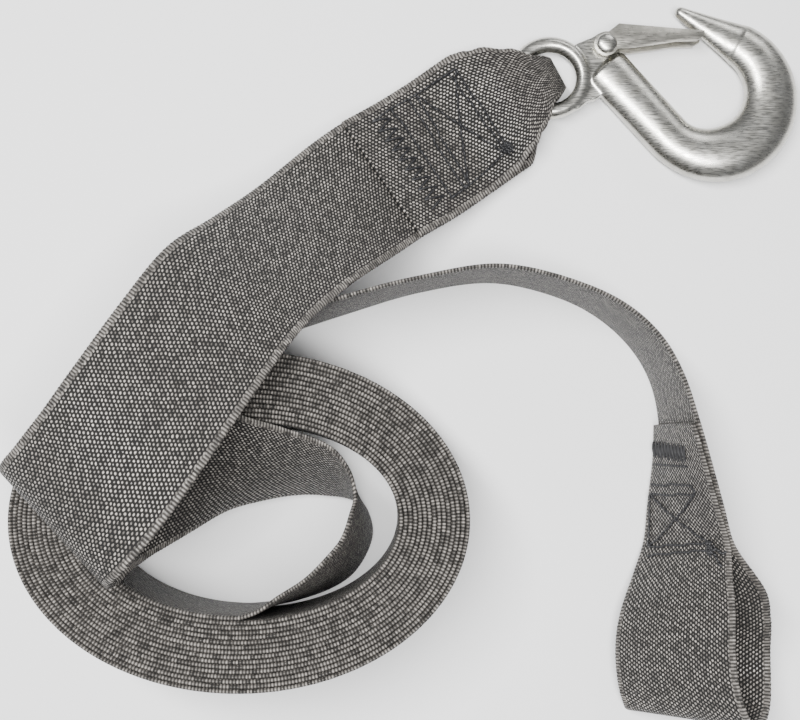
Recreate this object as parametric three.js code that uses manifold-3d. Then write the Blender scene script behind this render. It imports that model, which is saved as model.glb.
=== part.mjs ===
// Boat-trailer winch strap: polyester webbing wound into an oval coil that stands on its edge,
// a forged snap hook sewn to its inner end and a sewn drum loop at its outer end.
// Millimetres, +Z up, floor at z = 0.

import * as THREE from 'three';
import { mergeVertices } from 'three/addons/utils/BufferGeometryUtils.js';
import Module from 'manifold-3d';

const wasm = await Module();
wasm.setup();

// Webbing
const WEB_WIDTH = 50;
const WEB_THICK = 1.5;
const TOUCH_GAP = 0.3;          // air left between faces that touch
const SEAM_PITCH = WEB_THICK + TOUCH_GAP;

// Coil: an oval spiral, wound clockwise from its inner end as seen from above
const CORE_HALF_X = 49.8;
const CORE_HALF_Y = 30.7;
const TURN_AIR = 0.04;
const TURN_PITCH = WEB_THICK + TURN_AIR;
const STEPS_PER_TURN = 40;
const COIL_TURNS = 15 + 17 / STEPS_PER_TURN;
const INNER_END_ANGLE = -Math.PI / 2;
const SELVEDGE_DROP = 0.5;      // depth of the groove between two turns
const SELVEDGE_ROUND = 0.35;    // width of the rounded corner of one turn
const COIL_LIFT = TOUCH_GAP;    // the runs' selvedges stand this far above the floor

// Forged hook, in its own frame: eye centre at the origin, lying flat
const EYE_RING_RADIUS = 12.3;
const EYE_BAR_RADIUS = 2.9;
const NECK_THICK = 3.8;
const SHANK_START = new THREE.Vector2(20.5, 3.4);
const SHANK_END_ROUND = 2.1;    // how far the shank's rounded end reaches into the neck
const SHANK_WIDTH = 17.2;
const SHOULDER_THICK = 8.4;     // the shank where it leaves the neck
const SHANK_THICK = 11.4;
const BOWL_CENTRE = new THREE.Vector2(58.4, -6.4);
const BOWL_RADIUS = 21.8;
const BOWL_FROM = THREE.MathUtils.degToRad(-134);
const BOWL_TO = THREE.MathUtils.degToRad(61);
const BOWL_WIDTH = 20.6;
const BOWL_THICK = 13;
const POINT_LENGTH = 24;
const TIP_WIDTH = 4.6;
const TIP_THICK = 4.2;
const HOOK_MID_Z = BOWL_THICK / 2;

// Latch, rivet and spring, placed from the rivet's centre
const RIVET_AT = new THREE.Vector2(20.1, 11.6);
const RIVET_RADIUS = 2;
const RIVET_HEAD_RADIUS = 3.7;
const RIVET_HEAD_HEIGHT = 1.6;
const LATCH_SHEET = 1;
const LATCH_INSIDE = 6.8;       // between the two cheeks
const LATCH_EAR_RADIUS = 4.4;
const LATCH_LENGTH = 35.6;
const LATCH_OPENING_DEG = 32;
const SPRING_WIRE = 0.8;

// Where the eye lies, measured from the coil's centre
const EYE_AT = new THREE.Vector3(106.3, 157.9, HOOK_MID_Z);

const webbing = new THREE.MeshStandardMaterial({ color: 0x6f6862, roughness: 0.8, metalness: 0 });
const zinc = new THREE.MeshStandardMaterial({ color: 0xb9b9b0, roughness: 0.35, metalness: 0.9 });
const latchSteel = new THREE.MeshStandardMaterial({ color: 0x8a867c, roughness: 0.4, metalness: 0.9 });

const object = new THREE.Group();

function addPiece(parent, name, geometry, material) {
  const mesh = new THREE.Mesh(geometry, material);
  mesh.name = name;
  parent.add(mesh);
  return mesh;
}

// Builds a closed mesh from a soup of triangles and turns it outward if it came out inside in.
function closedGeometry(positions) {
  let geometry = new THREE.BufferGeometry();
  geometry.setAttribute('position', new THREE.Float32BufferAttribute(positions, 3));
  geometry = mergeVertices(geometry, 1e-4);
  const index = geometry.index.array;
  const at = geometry.attributes.position;
  const [a, b, c] = [new THREE.Vector3(), new THREE.Vector3(), new THREE.Vector3()];
  let volume = 0;
  for (let i = 0; i < index.length; i += 3) {
    a.fromBufferAttribute(at, index[i]);
    b.fromBufferAttribute(at, index[i + 1]);
    c.fromBufferAttribute(at, index[i + 2]);
    volume += a.dot(b.cross(c));
  }
  if (volume < 0) {
    for (let i = 0; i < index.length; i += 3) {
      [index[i + 1], index[i + 2]] = [index[i + 2], index[i + 1]];
    }
  }
  geometry.computeVertexNormals();
  return geometry;
}

function pushQuad(out, a, b, c, d) {
  for (const p of [a, b, c, a, c, d]) out.push(p.x, p.y, p.z);
}

function pushFan(out, ring, flip) {
  for (let i = 1; i + 1 < ring.length; i++) {
    const triangle = flip ? [ring[0], ring[i + 1], ring[i]] : [ring[0], ring[i], ring[i + 1]];
    for (const p of triangle) out.push(p.x, p.y, p.z);
  }
}

// Skins a row of rings that have the same number of points, and caps both ends.
function loft(rings) {
  const out = [];
  for (let i = 0; i + 1 < rings.length; i++) {
    const here = rings[i];
    const next = rings[i + 1];
    for (let k = 0; k < here.length; k++) {
      const m = (k + 1) % here.length;
      pushQuad(out, here[k], next[k], next[m], here[m]);
    }
  }
  pushFan(out, rings[0], false);
  pushFan(out, rings[rings.length - 1], true);
  return closedGeometry(out);
}

function toManifold(geometry) {
  const bare = new THREE.BufferGeometry();
  bare.setAttribute('position', geometry.attributes.position);
  bare.setIndex(geometry.index);
  const merged = mergeVertices(bare, 1e-4);
  const corners = merged.index.array;
  const triangles = [];
  for (let i = 0; i < corners.length; i += 3) {
    const [a, b, c] = [corners[i], corners[i + 1], corners[i + 2]];
    if (a !== b && b !== c && c !== a) triangles.push(a, b, c);
  }
  return new wasm.Manifold(new wasm.Mesh({
    numProp: 3,
    vertProperties: Float32Array.from(merged.attributes.position.array),
    triVerts: Uint32Array.from(triangles),
  }));
}

function fromManifold(solid) {
  const mesh = solid.getMesh();
  const geometry = new THREE.BufferGeometry();
  geometry.setAttribute('position', new THREE.BufferAttribute(mesh.vertProperties, 3));
  geometry.setIndex(new THREE.BufferAttribute(mesh.triVerts, 1));
  geometry.computeVertexNormals();
  return geometry;
}

function joined(geometries) {
  return fromManifold(geometries.map(toManifold).reduce((sum, solid) => sum.add(solid)));
}

// The coil's spiral: a point at a number of turns from the inner end, pushed out by some turns more.
function spiralPoint(turns, outward, z) {
  const angle = INNER_END_ANGLE - turns * 2 * Math.PI;
  const grow = TURN_PITCH * (turns + outward);
  return new THREE.Vector3(
    (CORE_HALF_X + grow) * Math.cos(angle),
    (CORE_HALF_Y + grow) * Math.sin(angle),
    z,
  );
}

// One turn's section, run round the spiral. Neighbouring turns share the bottom of their groove.
function coilGeometry() {
  const round = SELVEDGE_ROUND / TURN_PITCH;
  const top = COIL_LIFT + WEB_WIDTH;
  const upper = [[0, top - SELVEDGE_DROP], [0.5, top], [1, top - SELVEDGE_DROP]];
  const lower = [[0, SELVEDGE_DROP], [round, 0], [1 - round, 0], [1, SELVEDGE_DROP]];
  const steps = Math.round(COIL_TURNS * STEPS_PER_TURN);
  const section = (i, points) => points.map(([out, z]) => spiralPoint(i / STEPS_PER_TURN, out, z));
  const out = [];
  for (let i = 0; i < steps; i++) {
    const [up0, up1] = [section(i, upper), section(i + 1, upper)];
    const [low0, low1] = [section(i, lower), section(i + 1, lower)];
    for (let k = 0; k + 1 < upper.length; k++) pushQuad(out, up0[k], up1[k], up1[k + 1], up0[k + 1]);
    for (let k = 0; k + 1 < lower.length; k++) pushQuad(out, low0[k], low0[k + 1], low1[k + 1], low1[k]);
    const inward = i < STEPS_PER_TURN;
    const outward = i >= steps - STEPS_PER_TURN;
    if (inward) pushQuad(out, low0[0], low1[0], up1[0], up0[0]);
    if (outward) pushQuad(out, low0[3], up0[2], up1[2], low1[3]);
  }
  pushFan(out, [...section(0, lower), ...section(0, upper).reverse()], true);
  pushFan(out, [...section(steps, lower), ...section(steps, upper).reverse()], false);
  return closedGeometry(out);
}

// A stretch of webbing through hand-set stations: centre, then the direction across the strap.
// A station may give its own width, where the strap is gathered.
function ribbonSamples(stations, stepsPerSpan) {
  const centres = new THREE.CatmullRomCurve3(stations.map((s) => s.at), false, 'centripetal');
  const across = new THREE.CatmullRomCurve3(
    stations.map((s) => s.across.clone().normalize()), false, 'catmullrom', 0.5);
  const spans = stations.length - 1;
  const samples = [];
  for (let i = 0; i <= spans * stepsPerSpan; i++) {
    const t = i / (spans * stepsPerSpan);
    const along = centres.getTangent(t);
    const ruling = across.getPoint(t).normalize();
    const span = Math.min(Math.floor(t * spans), spans - 1);
    const blend = THREE.MathUtils.smoothstep(t * spans - span, 0, 1);
    const width = THREE.MathUtils.lerp(stations[span].width, stations[span + 1].width, blend);
    const square = Math.sqrt(1 - ruling.dot(along) ** 2);
    const face = new THREE.Vector3().crossVectors(along, ruling).normalize();
    samples.push({ at: centres.getPoint(t), half: ruling.multiplyScalar(width / 2 / square), face });
  }
  return samples;
}

function ribbonGeometry(stations, stepsPerSpan) {
  const rings = ribbonSamples(stations, stepsPerSpan).map(({ at, half, face }) => {
    const skin = face.clone().multiplyScalar(WEB_THICK / 2);
    return [[1, 1], [-1, 1], [-1, -1], [1, -1]].map(([side, out]) =>
      at.clone().addScaledVector(half, side).addScaledVector(skin, out));
  });
  return loft(rings);
}

function station(x, y, z, acrossX, acrossY, acrossZ, width = WEB_WIDTH) {
  return {
    at: new THREE.Vector3(x, y, z),
    across: new THREE.Vector3(acrossX, acrossY, acrossZ),
    width,
  };
}

// The folded-back end lies on the strap: the same stations, one seam pitch off its upper face.
function foldedBack(stations) {
  return stations.map((s, i) => {
    const before = stations[Math.max(i - 1, 0)].at;
    const after = stations[Math.min(i + 1, stations.length - 1)].at;
    const along = after.clone().sub(before);
    const face = new THREE.Vector3().crossVectors(along, s.across).normalize();
    return { at: s.at.clone().addScaledVector(face, SEAM_PITCH), across: s.across, width: s.width };
  }).reverse();
}

// Inner end of the coil, up inside the core and over the rim, back over itself, down to the hook
const coilMidZ = COIL_LIFT + WEB_WIDTH / 2;
const innerEnd = spiralPoint(0, 0.5, coilMidZ);
const hookRunStart = station(innerEnd.x + TOUCH_GAP, innerEnd.y + TOUCH_GAP, innerEnd.z, 0, 0, 1);
const insideCore = [
  hookRunStart,
  station(6, -30.1, 25.4, -0.5, 1.6, 50),
  station(13, -27.3, 25.6, -1.8, 5, 49.6),
  station(24, -22.2, 26.0, -6, 6.5, 49.2),
  station(31.6, -16.0, 26.4, -7.4, 8, 48.8),
  station(36.6, -8.8, 26.5, -7.9, 5.6, 49.1),
  station(38.6, -1.2, 26.4, -6.4, 6.0, 49.2),
  station(37.8, 5.6, 26.2, -2, 4, 49.8),
  station(34.4, 10.8, 26.6, 1.4, 9, 49.2),
  station(28.2, 14.8, 27.4, 3.8, 15, 47.4),
  station(19.8, 16.8, 28.6, 6.6, 18.6, 45.8),
  station(9.0, 17.4, 31.0, 9.8, 23.6, 42.6),
  station(-3.4, 17.2, 35.9, 11, 31, 37),
];
const overRim = [
  station(-18.0, 15.6, 43.6, 6, 44, 23),
  station(-32.6, 12.0, 49.6, -5.5, 48, 12.5),
  station(-43.0, 8.0, 52.6, -20, 45.5, 3.5),
  station(-50.0, 3.2, 53.6, -33, 37.5, 0.5),
];
const foldOver = [
  station(-54.4, -1.4, 58.0, -34.5, 37, 0),
  station(-55.6, -2.5, 66.0, -34.5, 37, 0),
  station(-53.4, -0.3, 74.5, -34.5, 37, 0),
  station(-47.4, 5.4, 79.6, -35, 36.5, 0),
  station(-38.0, 17.0, 81.0, -38, 32.5, 0),
];
const downToFloor = [
  station(-27.8, 32.1, 79.6, -40, 30.5, 0.5),
  station(-14.3, 53.2, 74.0, -40.5, 29, 1),
  station(-3.6, 69.8, 66.0, -38.6, 33, -2),
  station(6.0, 81.0, 54.5, -33, 34.2, -15),
  station(21.4, 96.6, 37.5, -31, 34, -15),
];
const sewnToHook = [
  station(44.6, 117.7, 16.0, -28, 41.5, -2),
  station(58.0, 126.8, 9.6, -27.6, 42, 0),
  station(72.0, 137.2, 5.0, -27, 42, 0),
  station(86.0, 147.2, 2.6, -26, 42, 0),
];
const GATHERED_WIDTH = 31;      // where the strap reaches the ring
const EYE_WIDTH = 12;           // where it passes through the ring
const eyeFold = [
  station(97.4, 153.4, 1.8, -14, 27, 0, GATHERED_WIDTH),
  station(104.5, 157.0, 2.0, -14, 27, 0, EYE_WIDTH + 5),
  station(109.2, 159.4, 6.6, -14, 27, 0, EYE_WIDTH),
  station(104.5, 157.0, 11.4, -14, 27, 0, EYE_WIDTH + 5),
  station(97.4, 153.4, 11.8, -14, 27, 0, GATHERED_WIDTH),
  station(89.8, 149.2, 11.2, -19, 33, 0, WEB_WIDTH - 8),
  station(81.2, 143.9, 8.8, -25, 41, 0, WEB_WIDTH - 1),
];
addPiece(object, 'webbing_hook_run', ribbonGeometry([
  ...insideCore, ...overRim, ...foldOver, ...downToFloor,
  ...sewnToHook, ...eyeFold, ...foldedBack(sewnToHook.slice(0, -1)),
], 3), webbing);

addPiece(object, 'webbing_coil', coilGeometry(), webbing);

// Outer end of the coil, on edge round to the drum loop, which is sewn back on itself
const outerEnd = spiralPoint(COIL_TURNS, 0.5, coilMidZ);
const outerAhead = spiralPoint(COIL_TURNS + 0.001, 0.5, coilMidZ).sub(outerEnd).normalize();
const outerSide = new THREE.Vector3(-outerAhead.y, outerAhead.x, 0);
const loopRunStart = outerEnd.clone().addScaledVector(outerAhead, TOUCH_GAP)
  .addScaledVector(outerSide, TOUCH_GAP);
const tailOnEdge = [
  station(loopRunStart.x, loopRunStart.y, loopRunStart.z, 0, 0, 1),
  station(0.0, 61.6, 25.3, 0, 0, 1),
  station(32.7, 72.5, 25.3, -1.5, -1, 50),
  station(58.0, 79.6, 25.3, -1.8, -2, 49.9),
  station(85.4, 83.4, 25.3, -1.5, -1.4, 49.9),
  station(111.7, 77.1, 25.3, -1.5, -1, 49.9),
  station(126.6, 69.0, 25.3, -1, 0.3, 50),
  station(137.0, 58.6, 25.3, -0.4, 1, 50),
  station(143.2, 47.0, 25.3, 0.4, 0.6, 50),
];
const sewnToLoop = [
  station(147.0, 32.0, 25.3, 3, -1, 49.8),
  station(148.6, 18.0, 25.1, 8, -1.8, 49.2),
  station(149.4, 4.0, 24.8, 14, -1, 48),
  station(150.2, -9.0, 24.4, 19.5, 1, 46),
];
const drumLoop = [
  station(153.0, -22.0, 21.8, 30, 4, 37),
  station(154.6, -34.0, 15.4, 41, 3, 26),
  station(155.2, -46.0, 10.4, 46, 2, 18),
  station(155.2, -56.0, 10.4, 46, 0, 17.5),
  station(154.0, -64.0, 14.2, 43, -1, 24),
  station(151.0, -67.8, 20.2, 39, -1.5, 31),
  station(147.4, -65.0, 25.6, 35, 0, 35.5),
  station(144.4, -56.0, 27.4, 33, 3, 37),
  station(143.5, -44.0, 27.4, 32.5, 4, 37.5),
  station(144.6, -31.0, 27.0, 30, 5, 39),
  station(146.8, -19.0, 25.6, 24, 3, 43.5),
];
addPiece(object, 'webbing_loop_run', ribbonGeometry([
  ...tailOnEdge, ...sewnToLoop, ...drumLoop, ...foldedBack(sewnToLoop),
], 3), webbing);

// The hook's centre line: straight shank, round bowl, straight point.
function hookLine() {
  const fromBowl = (angle) => new THREE.Vector2(Math.cos(angle), Math.sin(angle))
    .multiplyScalar(BOWL_RADIUS).add(BOWL_CENTRE);
  const line = [];
  const bowlStart = fromBowl(BOWL_FROM);
  const SHANK_STEPS = 4;
  for (let i = 0; i < SHANK_STEPS; i++) {
    line.push({ at: SHANK_START.clone().lerp(bowlStart, i / SHANK_STEPS), part: 'shank', t: i / SHANK_STEPS });
  }
  const BOWL_STEPS = 15;
  for (let i = 0; i <= BOWL_STEPS; i++) {
    const t = i / BOWL_STEPS;
    line.push({ at: fromBowl(THREE.MathUtils.lerp(BOWL_FROM, BOWL_TO, t)), part: 'bowl', t });
  }
  const heading = new THREE.Vector2(-Math.sin(BOWL_TO), Math.cos(BOWL_TO));
  const POINT_STEPS = 6;
  for (let i = 1; i <= POINT_STEPS; i++) {
    const t = i / POINT_STEPS;
    const at = fromBowl(BOWL_TO).addScaledVector(heading, POINT_LENGTH * t);
    line.push({ at, part: 'point', t });
  }
  return line;
}

// Width in the hook's plane and thickness across it, at a place on the centre line.
function hookSection({ part, t }) {
  const POINT_ROOT_WIDTH = 15.6;
  const POINT_ROOT_THICK = 9.6;
  if (part === 'shank') return [SHANK_WIDTH, THREE.MathUtils.lerp(SHOULDER_THICK, SHANK_THICK, t)];
  if (part === 'point') {
    return [
      THREE.MathUtils.lerp(POINT_ROOT_WIDTH, TIP_WIDTH, t ** 0.9),
      THREE.MathUtils.lerp(POINT_ROOT_THICK, TIP_THICK, Math.sqrt(t)),
    ];
  }
  const SWELL_END = 0.35;
  if (t < SWELL_END) {
    const u = THREE.MathUtils.smoothstep(t / SWELL_END, 0, 1);
    return [THREE.MathUtils.lerp(SHANK_WIDTH, BOWL_WIDTH, u), THREE.MathUtils.lerp(SHANK_THICK, BOWL_THICK, u)];
  }
  const u = (t - SWELL_END) / (1 - SWELL_END);
  return [
    THREE.MathUtils.lerp(BOWL_WIDTH, POINT_ROOT_WIDTH, u * u),
    THREE.MathUtils.lerp(BOWL_THICK, POINT_ROOT_THICK, u * u),
  ];
}

function hookBarGeometry() {
  const line = hookLine();
  const SIDES = 16;
  const ring = (at, along, width, thick) => {
    const side = new THREE.Vector2(-along.y, along.x);
    return Array.from({ length: SIDES }, (_, k) => {
      const a = (k / SIDES) * 2 * Math.PI;
      const inPlane = (Math.cos(a) * width) / 2;
      return new THREE.Vector3(at.x + side.x * inPlane, at.y + side.y * inPlane, (Math.sin(a) * thick) / 2);
    });
  };
  const along = (i) => line[Math.min(i + 1, line.length - 1)].at.clone()
    .sub(line[Math.max(i - 1, 0)].at).normalize();
  const rings = line.map((place, i) => ring(place.at, along(i), ...hookSection(place)));
  const ends = [0.5, 0.87, 0.99];
  const last = line.length - 1;
  const [width, thick] = hookSection(line[last]);
  for (const s of ends) {
    const at = line[last].at.clone().addScaledVector(along(last), (s * width) / 2);
    const shrink = Math.sqrt(1 - s * s);
    rings.push(ring(at, along(last), width * shrink, thick * shrink));
  }
  const [rootWidth, rootThick] = hookSection(line[0]);
  for (const s of ends) {
    const at = line[0].at.clone().addScaledVector(along(0), -s * SHANK_END_ROUND);
    const shrink = Math.sqrt(1 - s * s);
    rings.unshift(ring(at, along(0), rootWidth * shrink, rootThick * shrink));
  }
  return loft(rings);
}

// Flat neck between the eye and the shank, with the lug that carries the latch's rivet.
function neckGeometry() {
  const outline = new THREE.Shape();
  outline.absarc(0, 0, EYE_RING_RADIUS, -0.9, 0.9, false);
  outline.lineTo(9.8, 12.4);
  outline.lineTo(15.6, 14.8);
  outline.absarc(RIVET_AT.x, RIVET_AT.y, 5.2, THREE.MathUtils.degToRad(122), THREE.MathUtils.degToRad(-20), true);
  outline.lineTo(26, 4);
  outline.lineTo(22, -3);
  outline.lineTo(16.6, -8.2);
  outline.lineTo(13.4, -9.0);
  outline.lineTo(9.6, -12.2);
  const hole = new THREE.Path();
  hole.absarc(RIVET_AT.x, RIVET_AT.y, RIVET_RADIUS + TOUCH_GAP, 0, 2 * Math.PI, false);
  outline.holes.push(hole);
  const plate = new THREE.ExtrudeGeometry(outline, { depth: NECK_THICK, bevelEnabled: false, curveSegments: 10 });
  return plate.translate(0, 0, -NECK_THICK / 2);
}

const hook = new THREE.Group();
hook.position.copy(EYE_AT);
object.add(hook);
const eyeRing = new THREE.TorusGeometry(EYE_RING_RADIUS, EYE_BAR_RADIUS, 12, 32);
addPiece(hook, 'hook_body', joined([hookBarGeometry(), neckGeometry(), eyeRing]), zinc);

// Latch: two cheeks and the back that joins them, folded from one sheet.
function latchGeometry() {
  const backFrom = new THREE.Vector2(4.6, 7.4);
  const backTo = new THREE.Vector2(LATCH_LENGTH, 4.9);
  const cheek = new THREE.Shape();
  cheek.moveTo(backFrom.x, backFrom.y);
  cheek.lineTo(backTo.x, backTo.y);
  cheek.lineTo(LATCH_LENGTH - 0.3, 2.9);
  cheek.lineTo(LATCH_LENGTH - 3, 1.2);
  cheek.lineTo(25, 1.0);
  cheek.lineTo(16.5, -0.4);
  cheek.absarc(0, 0, LATCH_EAR_RADIUS, THREE.MathUtils.degToRad(-28), THREE.MathUtils.degToRad(80), true);
  const hole = new THREE.Path();
  hole.absarc(0, 0, RIVET_RADIUS + TOUCH_GAP, 0, 2 * Math.PI, false);
  cheek.holes.push(hole);
  const sheet = { depth: LATCH_SHEET, bevelEnabled: false, curveSegments: 8 };
  const outside = LATCH_INSIDE / 2;
  const upper = new THREE.ExtrudeGeometry(cheek, sheet).translate(0, 0, outside);
  const lower = new THREE.ExtrudeGeometry(cheek, sheet).translate(0, 0, -outside - LATCH_SHEET);
  const slope = backTo.clone().sub(backFrom);
  const BACK_SHORT = 3.0;       // the back stops before it meets the hook's point
  const backLength = slope.length() - BACK_SHORT;
  const back = new THREE.BoxGeometry(backLength, LATCH_SHEET, LATCH_INSIDE + 2 * LATCH_SHEET - 0.02);
  back.translate(backLength / 2, -LATCH_SHEET / 2 - 0.01, 0);
  back.rotateZ(slope.angle());
  back.translate(backFrom.x, backFrom.y, 0);
  return joined([upper, lower, back]);
}

const latch = addPiece(hook, 'hook_latch', latchGeometry(), latchSteel);
latch.position.set(RIVET_AT.x, RIVET_AT.y, 0);

function rivetGeometry() {
  const half = LATCH_INSIDE / 2 + LATCH_SHEET + TOUCH_GAP;
  const dome = (sign) => [0, 0.35, 0.7, 1].map((s) => new THREE.Vector2(
    RIVET_HEAD_RADIUS * Math.cos((s * Math.PI) / 2),
    sign * (half + RIVET_HEAD_HEIGHT * Math.sin((s * Math.PI) / 2))));
  const profile = [
    ...dome(-1).reverse(),
    new THREE.Vector2(RIVET_RADIUS, -half),
    new THREE.Vector2(RIVET_RADIUS, half),
    ...dome(1),
  ];
  profile[0].x = 0;
  profile[profile.length - 1].x = 0;
  return new THREE.LatheGeometry(profile, 20).rotateX(Math.PI / 2);
}

const rivet = addPiece(hook, 'latch_rivet', rivetGeometry(), zinc);
rivet.position.set(RIVET_AT.x, RIVET_AT.y, 0);

// Spring: one open turn round the rivet between neck and cheek, one leg under the latch's back.
function springGeometry() {
  const turn = RIVET_RADIUS + TOUCH_GAP + SPRING_WIRE;
  const loop = Array.from({ length: 13 }, (_, i) => {
    const angle = THREE.MathUtils.degToRad(90 + (240 * i) / 12);
    return new THREE.Vector3(turn * Math.cos(angle), turn * Math.sin(angle), 0);
  });
  const points = [new THREE.Vector3(11.5, 5.0, 0), new THREE.Vector3(4.6, 4.1, 0), ...loop,
    new THREE.Vector3(3.8, -1.9, 0)];
  const SIDES = 6;
  const rings = points.map((at, i) => {
    const along = points[Math.min(i + 1, points.length - 1)].clone()
      .sub(points[Math.max(i - 1, 0)]).normalize();
    const side = new THREE.Vector3(-along.y, along.x, 0);
    return Array.from({ length: SIDES }, (_, k) => {
      const a = (k / SIDES) * 2 * Math.PI;
      return at.clone().addScaledVector(side, (Math.cos(a) * SPRING_WIRE) / 2)
        .add(new THREE.Vector3(0, 0, (Math.sin(a) * SPRING_WIRE) / 2));
    });
  });
  return loft(rings);
}

const spring = addPiece(hook, 'latch_spring', springGeometry(), latchSteel);
spring.position.set(RIVET_AT.x, RIVET_AT.y, (NECK_THICK + LATCH_INSIDE) / 4);

// The finished model stands centred on its own outline.
const bounds = new THREE.Box3().setFromObject(object);
const middle = bounds.getCenter(new THREE.Vector3());
object.position.set(-middle.x, -middle.y, -bounds.min.z);

export default object;
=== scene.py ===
import math
import bmesh
import bpy
import numpy as np
from mathutils import Matrix, Vector


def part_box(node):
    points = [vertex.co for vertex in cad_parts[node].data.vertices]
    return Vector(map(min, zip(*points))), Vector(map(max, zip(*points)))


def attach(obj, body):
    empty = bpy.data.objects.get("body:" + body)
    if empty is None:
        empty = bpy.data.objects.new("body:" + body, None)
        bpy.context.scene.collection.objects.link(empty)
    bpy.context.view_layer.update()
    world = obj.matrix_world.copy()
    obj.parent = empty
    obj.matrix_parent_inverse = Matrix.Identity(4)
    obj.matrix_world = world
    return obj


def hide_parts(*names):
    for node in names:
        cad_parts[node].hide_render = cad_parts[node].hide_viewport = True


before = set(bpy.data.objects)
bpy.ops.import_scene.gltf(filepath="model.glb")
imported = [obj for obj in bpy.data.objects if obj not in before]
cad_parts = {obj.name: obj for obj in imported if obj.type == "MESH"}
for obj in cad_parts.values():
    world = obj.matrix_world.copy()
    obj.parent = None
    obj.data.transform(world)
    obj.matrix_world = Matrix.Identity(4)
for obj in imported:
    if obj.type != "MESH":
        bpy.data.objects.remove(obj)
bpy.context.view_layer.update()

# Coil centre, from which every measured point below counts. The rivet stands 126.4 mm
# along X and 169.5 mm along Y from it, and the hook's eye 106.3 mm and 157.9 mm.
rivet_low, rivet_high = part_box("latch_rivet")
rivet_at = (Vector(rivet_low) + Vector(rivet_high)) / 2
coil_at = Vector((rivet_at.x - 0.1264, rivet_at.y - 0.1695, 0.0))
eye_at = coil_at + Vector((0.1063, 0.1579, 0.0065))

# Webbing: one length of 50 mm polyester, woven plain with rounded selvedges. It is folded back
# and sewn at the hook and at the drum loop, and wound 15.4 turns into an oval coil on its edge.
WEB_WIDTH = 0.050
SEAM_PITCH = 0.0018  # from one layer to the next where the strap is folded back
CORE_HALF_X = 0.0498
CORE_HALF_Y = 0.0307
TURN_PITCH = 0.00154
COIL_TURNS = 15.425
COIL_MID_HEIGHT = 0.0253


def curve_point(knots, t, even):
    """A Catmull-Rom curve through the knots; t runs from 0 to 1 over its spans."""
    spans = len(knots) - 1
    i = min(int(t * spans), spans - 1)
    w = t * spans - i
    b, c = knots[i], knots[i + 1]
    a = knots[i - 1] if i > 0 else 2 * b - c
    d = knots[i + 2] if i + 2 <= spans else 2 * c - b
    if even:
        leave, arrive = (c - a) / 2, (d - b) / 2
    else:
        s0, s1, s2 = (np.sum((q - p) ** 2) ** 0.25 for p, q in ((a, b), (b, c), (c, d)))
        leave = ((b - a) / s0 - (c - a) / (s0 + s1) + (c - b) / s1) * s1
        arrive = ((c - b) / s1 - (d - b) / (s1 + s2) + (d - c) / s2) * s1
    return (
        (2 * w**3 - 3 * w**2 + 1) * b
        + (w**3 - 2 * w**2 + w) * leave
        + (-2 * w**3 + 3 * w**2) * c
        + (w**3 - w**2) * arrive
    )


def strap_run(stations, per_span):
    """Centres and half-width vectors of a run of webbing through (x, y, z, across, width) rows."""
    rows = np.array([r if len(r) == 7 else (*r, WEB_WIDTH) for r in stations], dtype=float)
    centres, widths = rows[:, :3], rows[:, 6]
    across = rows[:, 3:6] / np.linalg.norm(rows[:, 3:6], axis=1)[:, None]
    spans = len(rows) - 1
    out_centre, out_half = [], []
    for t in np.linspace(0, 1, spans * per_span + 1):
        ahead = curve_point(centres, min(t + 1e-4, 1), False)
        along = ahead - curve_point(centres, max(t - 1e-4, 0), False)
        along /= np.linalg.norm(along)
        ruling = curve_point(across, t, True)
        ruling /= np.linalg.norm(ruling)
        i = min(int(t * spans), spans - 1)
        blend = t * spans - i
        blend = blend * blend * (3 - 2 * blend)
        width = widths[i] * (1 - blend) + widths[i + 1] * blend
        square = np.linalg.norm(np.cross(along, ruling))
        out_centre.append(curve_point(centres, t, False))
        out_half.append(ruling * width / 2 / square)
    return np.array(out_centre), np.array(out_half)


def folded_back(stations):
    """The same stations in reverse, one seam pitch off the strap's upper face."""
    rows = [np.array(r if len(r) == 7 else (*r, WEB_WIDTH), dtype=float) for r in stations]
    out = []
    for i, row in enumerate(rows):
        along = rows[min(i + 1, len(rows) - 1)][:3] - rows[max(i - 1, 0)][:3]
        face = np.cross(along, row[3:6])
        lifted = row[:3] + face / np.linalg.norm(face) * SEAM_PITCH
        out.append(np.array([*lifted, *row[3:]]))
    return [tuple(r) for r in reversed(out)]


def coil_turn(turns):
    """Centre of the webbing at a number of turns from the coil's inner end."""
    angle = -math.pi / 2 - turns * 2 * math.pi
    grow = TURN_PITCH * (turns + 0.5)
    across = (CORE_HALF_X + grow) * math.cos(angle)
    return across, (CORE_HALF_Y + grow) * math.sin(angle), COIL_MID_HEIGHT


inside_core = [
    (*coil_turn(0), 0, 0, 1),
    (0.0060, -0.0301, 0.0254, -0.5, 1.6, 50),
    (0.0130, -0.0273, 0.0256, -1.8, 5, 49.6),
    (0.0240, -0.0222, 0.0260, -6, 6.5, 49.2),
    (0.0316, -0.0160, 0.0264, -7.4, 8, 48.8),
    (0.0366, -0.0088, 0.0265, -7.9, 5.6, 49.1),
    (0.0386, -0.0012, 0.0264, -6.4, 6.0, 49.2),
    (0.0378, 0.0056, 0.0262, -2, 4, 49.8),
    (0.0344, 0.0108, 0.0266, 1.4, 9, 49.2),
    (0.0282, 0.0148, 0.0274, 3.8, 15, 47.4),
    (0.0198, 0.0168, 0.0286, 6.6, 18.6, 45.8),
    (0.0090, 0.0174, 0.0310, 9.8, 23.6, 42.6),
    (-0.0034, 0.0172, 0.0359, 11, 31, 37),
]
over_rim = [
    (-0.0180, 0.0156, 0.0436, 6, 44, 23),
    (-0.0326, 0.0120, 0.0496, -5.5, 48, 12.5),
    (-0.0430, 0.0080, 0.0526, -20, 45.5, 3.5),
    (-0.0500, 0.0032, 0.0536, -33, 37.5, 0.5),
]
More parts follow.
